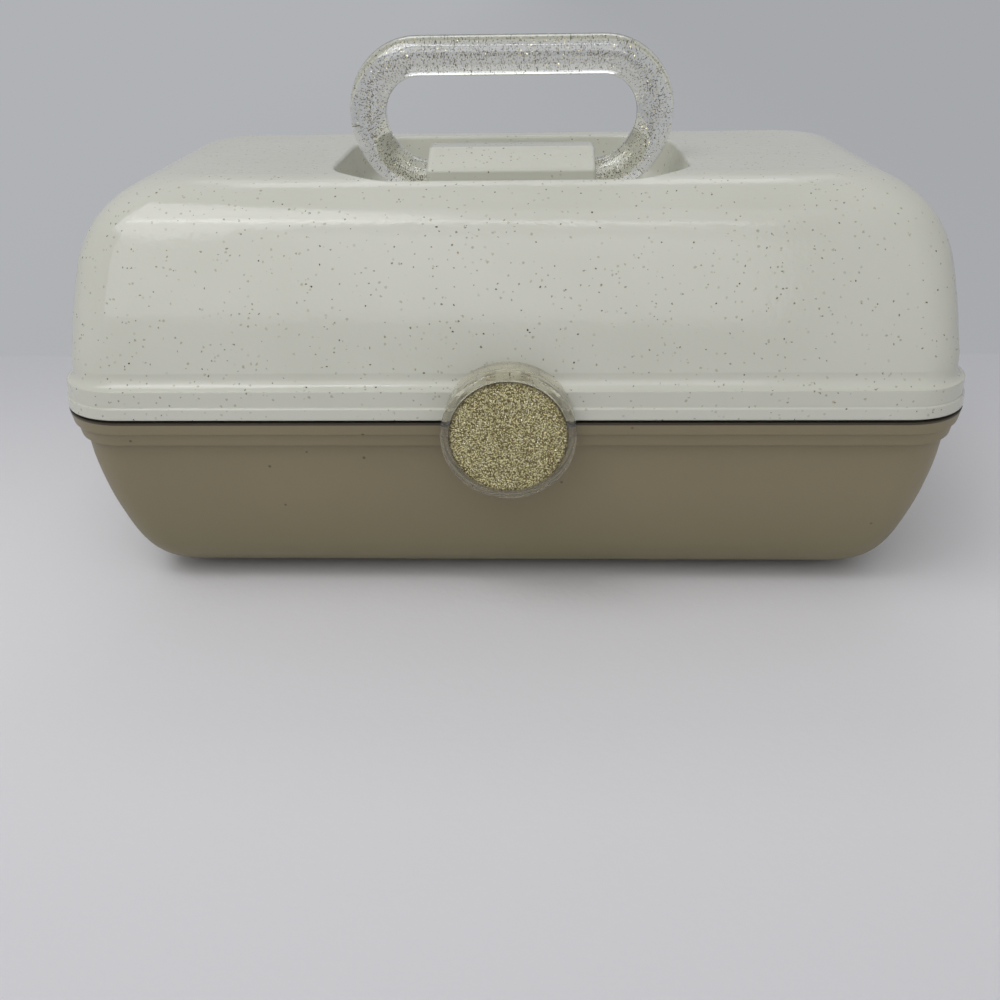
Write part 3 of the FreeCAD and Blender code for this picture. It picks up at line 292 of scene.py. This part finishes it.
FLECK_CELL = 0.0011
FLECK_SHIFT = 0.4
FLECK_CORE = 0.7
DARK_FLECKS = 0.45
INLAY_RADIUS = 0.0208
INLAY_SHADE = (INLAY_RADIUS - 0.0014, INLAY_RADIUS + 0.0002)
INLAY_MIDDLE = (0.0, 0.0, 0.0756)
INLAY_PLANE = (1.0, 0.0, 1.0)
# Cells whose blue number lies above this get a painted glint.
GLINT_FROM = 0.93
FLAKE_LEAN = 1.1


def clear_plastic(name, tint, share, radius, haze, ior, coat):
    """Clear acrylic with gold and dark flecks that lie at its surface. Haze makes it milky."""
    shader = Shader(name)
    distance, cell = shader.cells(FLECK_CELL, FLECK_SHIFT)
    flecks = shader.dots(distance, cell, radius * FLECK_CORE, radius, share)
    is_gold = shader.math("GREATER_THAN", shader.channel(cell, "Green"), DARK_FLECKS)
    tone = shader.mix(is_gold, rgb(92, 84, 62), rgb(232, 222, 184))
    return shader.principled({
        "Base Color": shader.mix(flecks, tint, tone),
        "Roughness": shader.uneven(shader.noise(scale=70, detail=2), 0.005, 0.025),
        "Metallic": flecks,
        "IOR": ior,
        "Transmission Weight": shader.ramp(flecks, 0.0, 1.0, start=1.0 - haze, end=0.0),
        "Normal": shader.bump(shader.noise(scale=55, detail=1), depth=0.00005),
        "Coat Weight": coat,
    })


def glitter(name, size, bright, deep):
    """Tightly packed flakes that all face slightly different ways, with a painted glint on a few of
    them and painted shade near the disc's rim.
    """
    shader = Shader(name)
    distance, cell = shader.cells(size)
    tone = shader.ramp(shader.channel(cell, "Red"), 0.2, 0.7)
    edge = shader.ramp(distance, size * 0.35, size * 0.65, start=1.0, end=0.2)
    colour = shader.mix(shader.math("MULTIPLY", tone, edge), deep, bright)
    # Painted glint: a few cells turn near white.
    painted_glint = shader.math("GREATER_THAN", shader.channel(cell, "Blue"), GLINT_FROM)
    colour = shader.mix(shader.math("MULTIPLY", painted_glint, edge), colour, rgb(255, 250, 228))
    from_middle = shader.vector("SUBTRACT", shader.place, INLAY_MIDDLE)
    reach = shader.length(shader.vector("MULTIPLY", from_middle, INLAY_PLANE))
    # Painted shade of the ring's lip, darker towards the disc's rim.
    shade = shader.ramp(reach, *INLAY_SHADE, start=0.0, end=0.85)
    lean = shader.scaled(shader.vector("SUBTRACT", cell, (0.5, 0.5, 0.5)), FLAKE_LEAN)
    facing = shader.vector("ADD", shader.add("NewGeometry")["Normal"], lean)
    return shader.principled({
        "Base Color": shader.mix(shade, colour, rgb(58, 50, 34)),
        "Metallic": 0.35,
        "Roughness": 0.30,
        "Normal": shader.vector("NORMALIZE", facing),
    })


def flake_metal(name, tone):
    """Loose flakes cast into the clear plastic."""
    shader = Shader(name)
    bright = shader.ramp(shader.noise(scale=900, detail=1), 0.35, 0.65)
    return shader.principled({
        "Base Color": shader.mix(bright, tone, rgb(246, 238, 206)),
        "Metallic": 1.0,
        "Roughness": 0.25,
    })


# ---------------------------------------------------------------- pins, screws and mirror

BRUSH_STRETCH = (0.1, 1.0, 1.0)


def brushed_metal(name, tone):
    """Bare metal with fine lines along X."""
    shader = Shader(name)
    stretched = shader.vector("MULTIPLY", shader.place, BRUSH_STRETCH)
    lines = shader.noise(scale=3000, detail=3, place=stretched)
    return shader.principled({
        "Base Color": shader.mix(lines, tone, rgb(225, 224, 220)),
        "Metallic": 1.0,
        "Roughness": shader.uneven(lines, 0.22, 0.42),
        "Normal": shader.bump(lines, depth=0.00001),
    })


def silvered_glass(name):
    """Mirror with a faint haze."""
    shader = Shader(name)
    haze = shader.ramp(shader.noise(scale=18, detail=5), 0.5, 0.8)
    return shader.principled({
        "Base Color": shader.mix(haze, rgb(240, 243, 243), rgb(226, 231, 231)),
        "Metallic": 1.0,
        "Roughness": shader.ramp(haze, 0.0, 1.0, start=0.01, end=0.05),
    })


# ---------------------------------------------------------------- which node gets which finish

LID = speckled_plastic("speckled_white")
BASE = satin_plastic("taupe", rgb(140, 129, 101), rgb(135, 124, 97), is_base=True)
INSIDE = satin_plastic("light_taupe", rgb(186, 176, 158), rgb(180, 170, 152))
CLEAR = clear_plastic("clear_flecked", rgb(248, 248, 243), share=0.12, radius=0.00016,
                      haze=0.0, ior=1.49, coat=1.0)
RING = clear_plastic("clear_ring", rgb(246, 243, 230), share=0.50, radius=0.00022,
                     haze=0.06, ior=1.15, coat=0.5)
GLITTER = glitter("gold_glitter", 0.00037, rgb(255, 246, 188), rgb(110, 97, 56))
STEEL = brushed_metal("steel", rgb(150, 150, 150))
MIRROR = silvered_glass("mirror_glass")
GOLD_FLAKE = flake_metal("gold_flake", rgb(214, 206, 172))
DARK_FLAKE = flake_metal("dark_flake", rgb(34, 30, 22))

FINISHES = {
    "base_shell": BASE,
    "tray_arm_left": BASE,
    "tray_arm_right": BASE,
    "lid_shell": LID,
    "handle_cap": LID,
    "handle": CLEAR,
    "latch_body": RING,
    "latch_inlay": GLITTER,
    "tray": INSIDE,
    "mirror_frame": INSIDE,
    "mirror_glass": MIRROR,
}
for name, node in NODES.items():
    node.data.materials.clear()
    node.data.materials.append(FINISHES.get(name, STEEL))


def add_object(name, corners, faces, material):
    """New object of one material, linked to the scene."""
    mesh = bpy.data.meshes.new(name)
    mesh.from_pydata(corners, [], faces)
    mesh.materials.append(material)
    piece = bpy.data.objects.new(name, mesh)
    bpy.context.scene.collection.objects.link(piece)
    return piece


# ---------------------------------------------------------------- flakes inside the handle

GRIP_RADIUS = 0.0072
HANDLE_HALF = 0.0552
HANDLE_Y = -0.017
HANDLE_LOW = 0.1460
HANDLE_TOP = 0.1908
SHOULDER = 0.020
HEEL = 0.0245
FLAKES = 11000
FLAKE_SPREAD = 0.90
FLAKE_EVENNESS = 0.9
FLAKE_SIZES = (0.00010, 0.00020)
GOLD_SEED = 3
DARK_SEED = 4
LITTLE_AHEAD = 0.01


def handle_line():
    """Stretches of the right half of the handle's centre line, top to bottom, and their lengths."""
    shoulder = (HANDLE_HALF - SHOULDER, HANDLE_TOP - SHOULDER)
    heel = (HANDLE_HALF - HEEL, HANDLE_LOW + HEEL)
    quarter = math.pi / 2
    stretches = [
        lambda t: (shoulder[0] * t, HANDLE_TOP),
        lambda t: around(shoulder, SHOULDER, quarter * t),
        lambda t: (HANDLE_HALF, shoulder[1] + (heel[1] - shoulder[1]) * t),
        lambda t: around(heel, HEEL, quarter * (1 + t)),
        lambda t: (heel[0] * (1 - t), HANDLE_LOW),
    ]
    lengths = [shoulder[0], SHOULDER * quarter, shoulder[1] - heel[1], HEEL * quarter, heel[0]]
    return stretches, lengths


def around(centre, radius, angle):
    """Point on a circle, as X and Z. The angle is taken from straight up."""
    return centre[0] + radius * math.sin(angle), centre[1] + radius * math.cos(angle)


def make_flakes(name, material, count, seed):
    """Tiny square flakes spread through the handle's bar."""
    chance = random.Random(seed)
    stretches, lengths = handle_line()
    corners = []
    faces = []
    for _ in range(count):
        stretch = chance.choices(stretches, lengths)[0]
        t = chance.random()
        x, z = stretch(t)
        x_ahead, z_ahead = stretch(t + LITTLE_AHEAD)
        along = Vector((x_ahead - x, 0, z_ahead - z)).normalized()
        across = Vector((0, 1, 0))
        outward = along.cross(across)
        angle = chance.uniform(0, 2 * math.pi)
        reach = GRIP_RADIUS * FLAKE_SPREAD * chance.random() ** FLAKE_EVENNESS
        offset = (across * math.cos(angle) + outward * math.sin(angle)) * reach
        middle = Vector((x, HANDLE_Y, z)) + offset
        if chance.random() < 0.5:
            middle.x = -middle.x
        size = chance.uniform(*FLAKE_SIZES)
        first = Vector([chance.gauss(0, 1) for _ in range(3)]).normalized()
        second = first.orthogonal().normalized()
        start = len(corners)
        for side_a, side_b in ((-1, -1), (1, -1), (1, 1), (-1, 1)):
            corners.append(middle + (first * side_a + second * side_b) * size)
        faces.append((start, start + 1, start + 2, start + 3))
    flakes = add_object(name, corners, faces, material)
    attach(flakes, "handle")


make_flakes("handle_gold_flakes", GOLD_FLAKE, FLAKES // 3, GOLD_SEED)
make_flakes("handle_dark_flakes", DARK_FLAKE, 2 * FLAKES // 3, DARK_SEED)

# ---------------------------------------------------------------- floor and light

FLOOR_HALF = 30.0
FLOOR_FRONT_Y = -0.38
FLOOR_CASE_Y = -0.10
WALL_Y = 0.183
WALL_BLUR = 0.004
WALL_HALF = 0.6
WORLD_TONE = (0.97, 0.98, 1.0, 1.0)
WORLD_LIGHT = 0.385
WORLD_SEEN = 0.45
LAMP_TARGET = Vector((0, 0, 0.1))
WHITE = (1.0, 1.0, 1.0)
COOL = (0.86, 0.92, 1.0)
# name, place, width and height, watts, colour
LAMPS = (
    ("key", (-0.60, -0.45, 1.35), (0.8, 0.7), 4.6, WHITE),
    ("soft_front", (-0.12, -0.75, 1.60), (1.3, 0.9), 2.6, WHITE),
    ("low_front", (-0.15, -1.10, 0.95), (1.2, 0.6), 2.8, WHITE),
    ("strip", (-0.20, -0.75, 1.50), (1.3, 0.08), 1.4, WHITE),
    ("back_glow", (-0.02, 1.00, 1.10), (1.1, 0.30), 0.5, COOL),
    ("back_strip", (-0.02, 1.00, 1.45), (1.1, 0.30), 1.5, WHITE),
)


def floor_material():
    """Pale floor with painted light, lighter near the case than in front of it, that gives way to a
    plain darker backdrop tone behind the case; the backdrop has painted light too, lighter to the
    left.
    """
    shader = Shader("pale_floor")
    axes = shader.axes()
    # Painted light: the floor is lighter near the case than in front of it.
    near = shader.ramp(axes["Y"], FLOOR_FRONT_Y, FLOOR_CASE_Y)
    far = shader.ramp(axes["Y"], FLOOR_CASE_Y, WALL_Y)
    colour = shader.mix(near, rgb(211, 210, 214), rgb(230, 229, 232))
    colour = shader.mix(far, colour, rgb(204, 204, 208))
    grain = shader.bump(shader.noise(scale=300, detail=3), depth=0.0001)
    inputs = {"Base Color": colour, "Roughness": 0.55, "Normal": grain}
    lit = shader.add("BsdfPrincipled", inputs)[0]
    # Painted light falloff: the backdrop's glow is lighter to the left, where the light comes from.
    painted_falloff = shader.ramp(axes["X"], -WALL_HALF, WALL_HALF)
    tone = shader.mix(painted_falloff, rgb(176, 178, 182), rgb(166, 168, 172))
    plain = shader.add("Emission", {"Color": tone})[0]
    ray = shader.add("LightPath")
    seen = shader.math("ADD", ray["Is Camera Ray"], ray["Is Glossy Ray"])
    seen = shader.math("ADD", seen, ray["Is Transmission Ray"], clamp=True)
    behind = shader.ramp(axes["Y"], WALL_Y - WALL_BLUR, WALL_Y + WALL_BLUR)
    backdrop = shader.math("MULTIPLY", seen, behind)
    return shader.finish(shader.add("MixShader", {0: backdrop, 1: lit, 2: plain})[0])


def make_floor():
    corners = [(-FLOOR_HALF, -FLOOR_HALF, 0), (FLOOR_HALF, -FLOOR_HALF, 0),
               (FLOOR_HALF, FLOOR_HALF, 0), (-FLOOR_HALF, FLOOR_HALF, 0)]
    floor = add_object("floor", corners, [(0, 1, 2, 3)], floor_material())


def make_world():
    """Even light, and a paler studio tone where metal, gloss and clear plastic show it."""
    world = bpy.data.worlds.new("studio")
    world.use_nodes = True
    tree = world.node_tree
    background = tree.nodes["Background"]
    background.inputs["Color"].default_value = WORLD_TONE
    ray = tree.nodes.new("ShaderNodeLightPath").outputs
    seen = ray["Is Camera Ray"]
    for name in ("Is Glossy Ray", "Is Transmission Ray"):
        joined = tree.nodes.new("ShaderNodeMath")
        joined.operation = "MAXIMUM"
        tree.links.new(seen, joined.inputs[0])
        tree.links.new(ray[name], joined.inputs[1])
        seen = joined.outputs[0]
    strength = tree.nodes.new("ShaderNodeMapRange")
    strength.inputs["To Min"].default_value = WORLD_LIGHT
    strength.inputs["To Max"].default_value = WORLD_SEEN
    tree.links.new(seen, strength.inputs["Value"])
    tree.links.new(strength.outputs[0], background.inputs["Strength"])
    bpy.context.scene.world = world


def make_lamp(name, place, size, watts, tone):
    """Rectangular area lamp that faces the case."""
    data = bpy.data.lights.new(name, "AREA")
    data.shape = "RECTANGLE"
    data.size, data.size_y = size
    data.energy = watts
    data.color = tone
    lamp = bpy.data.objects.new(name, data)
    bpy.context.scene.collection.objects.link(lamp)
    lamp.location = place
    lamp.rotation_euler = (LAMP_TARGET - Vector(place)).to_track_quat("-Z", "Y").to_euler()


make_floor()
make_world()
for settings in LAMPS:
    make_lamp(*settings)
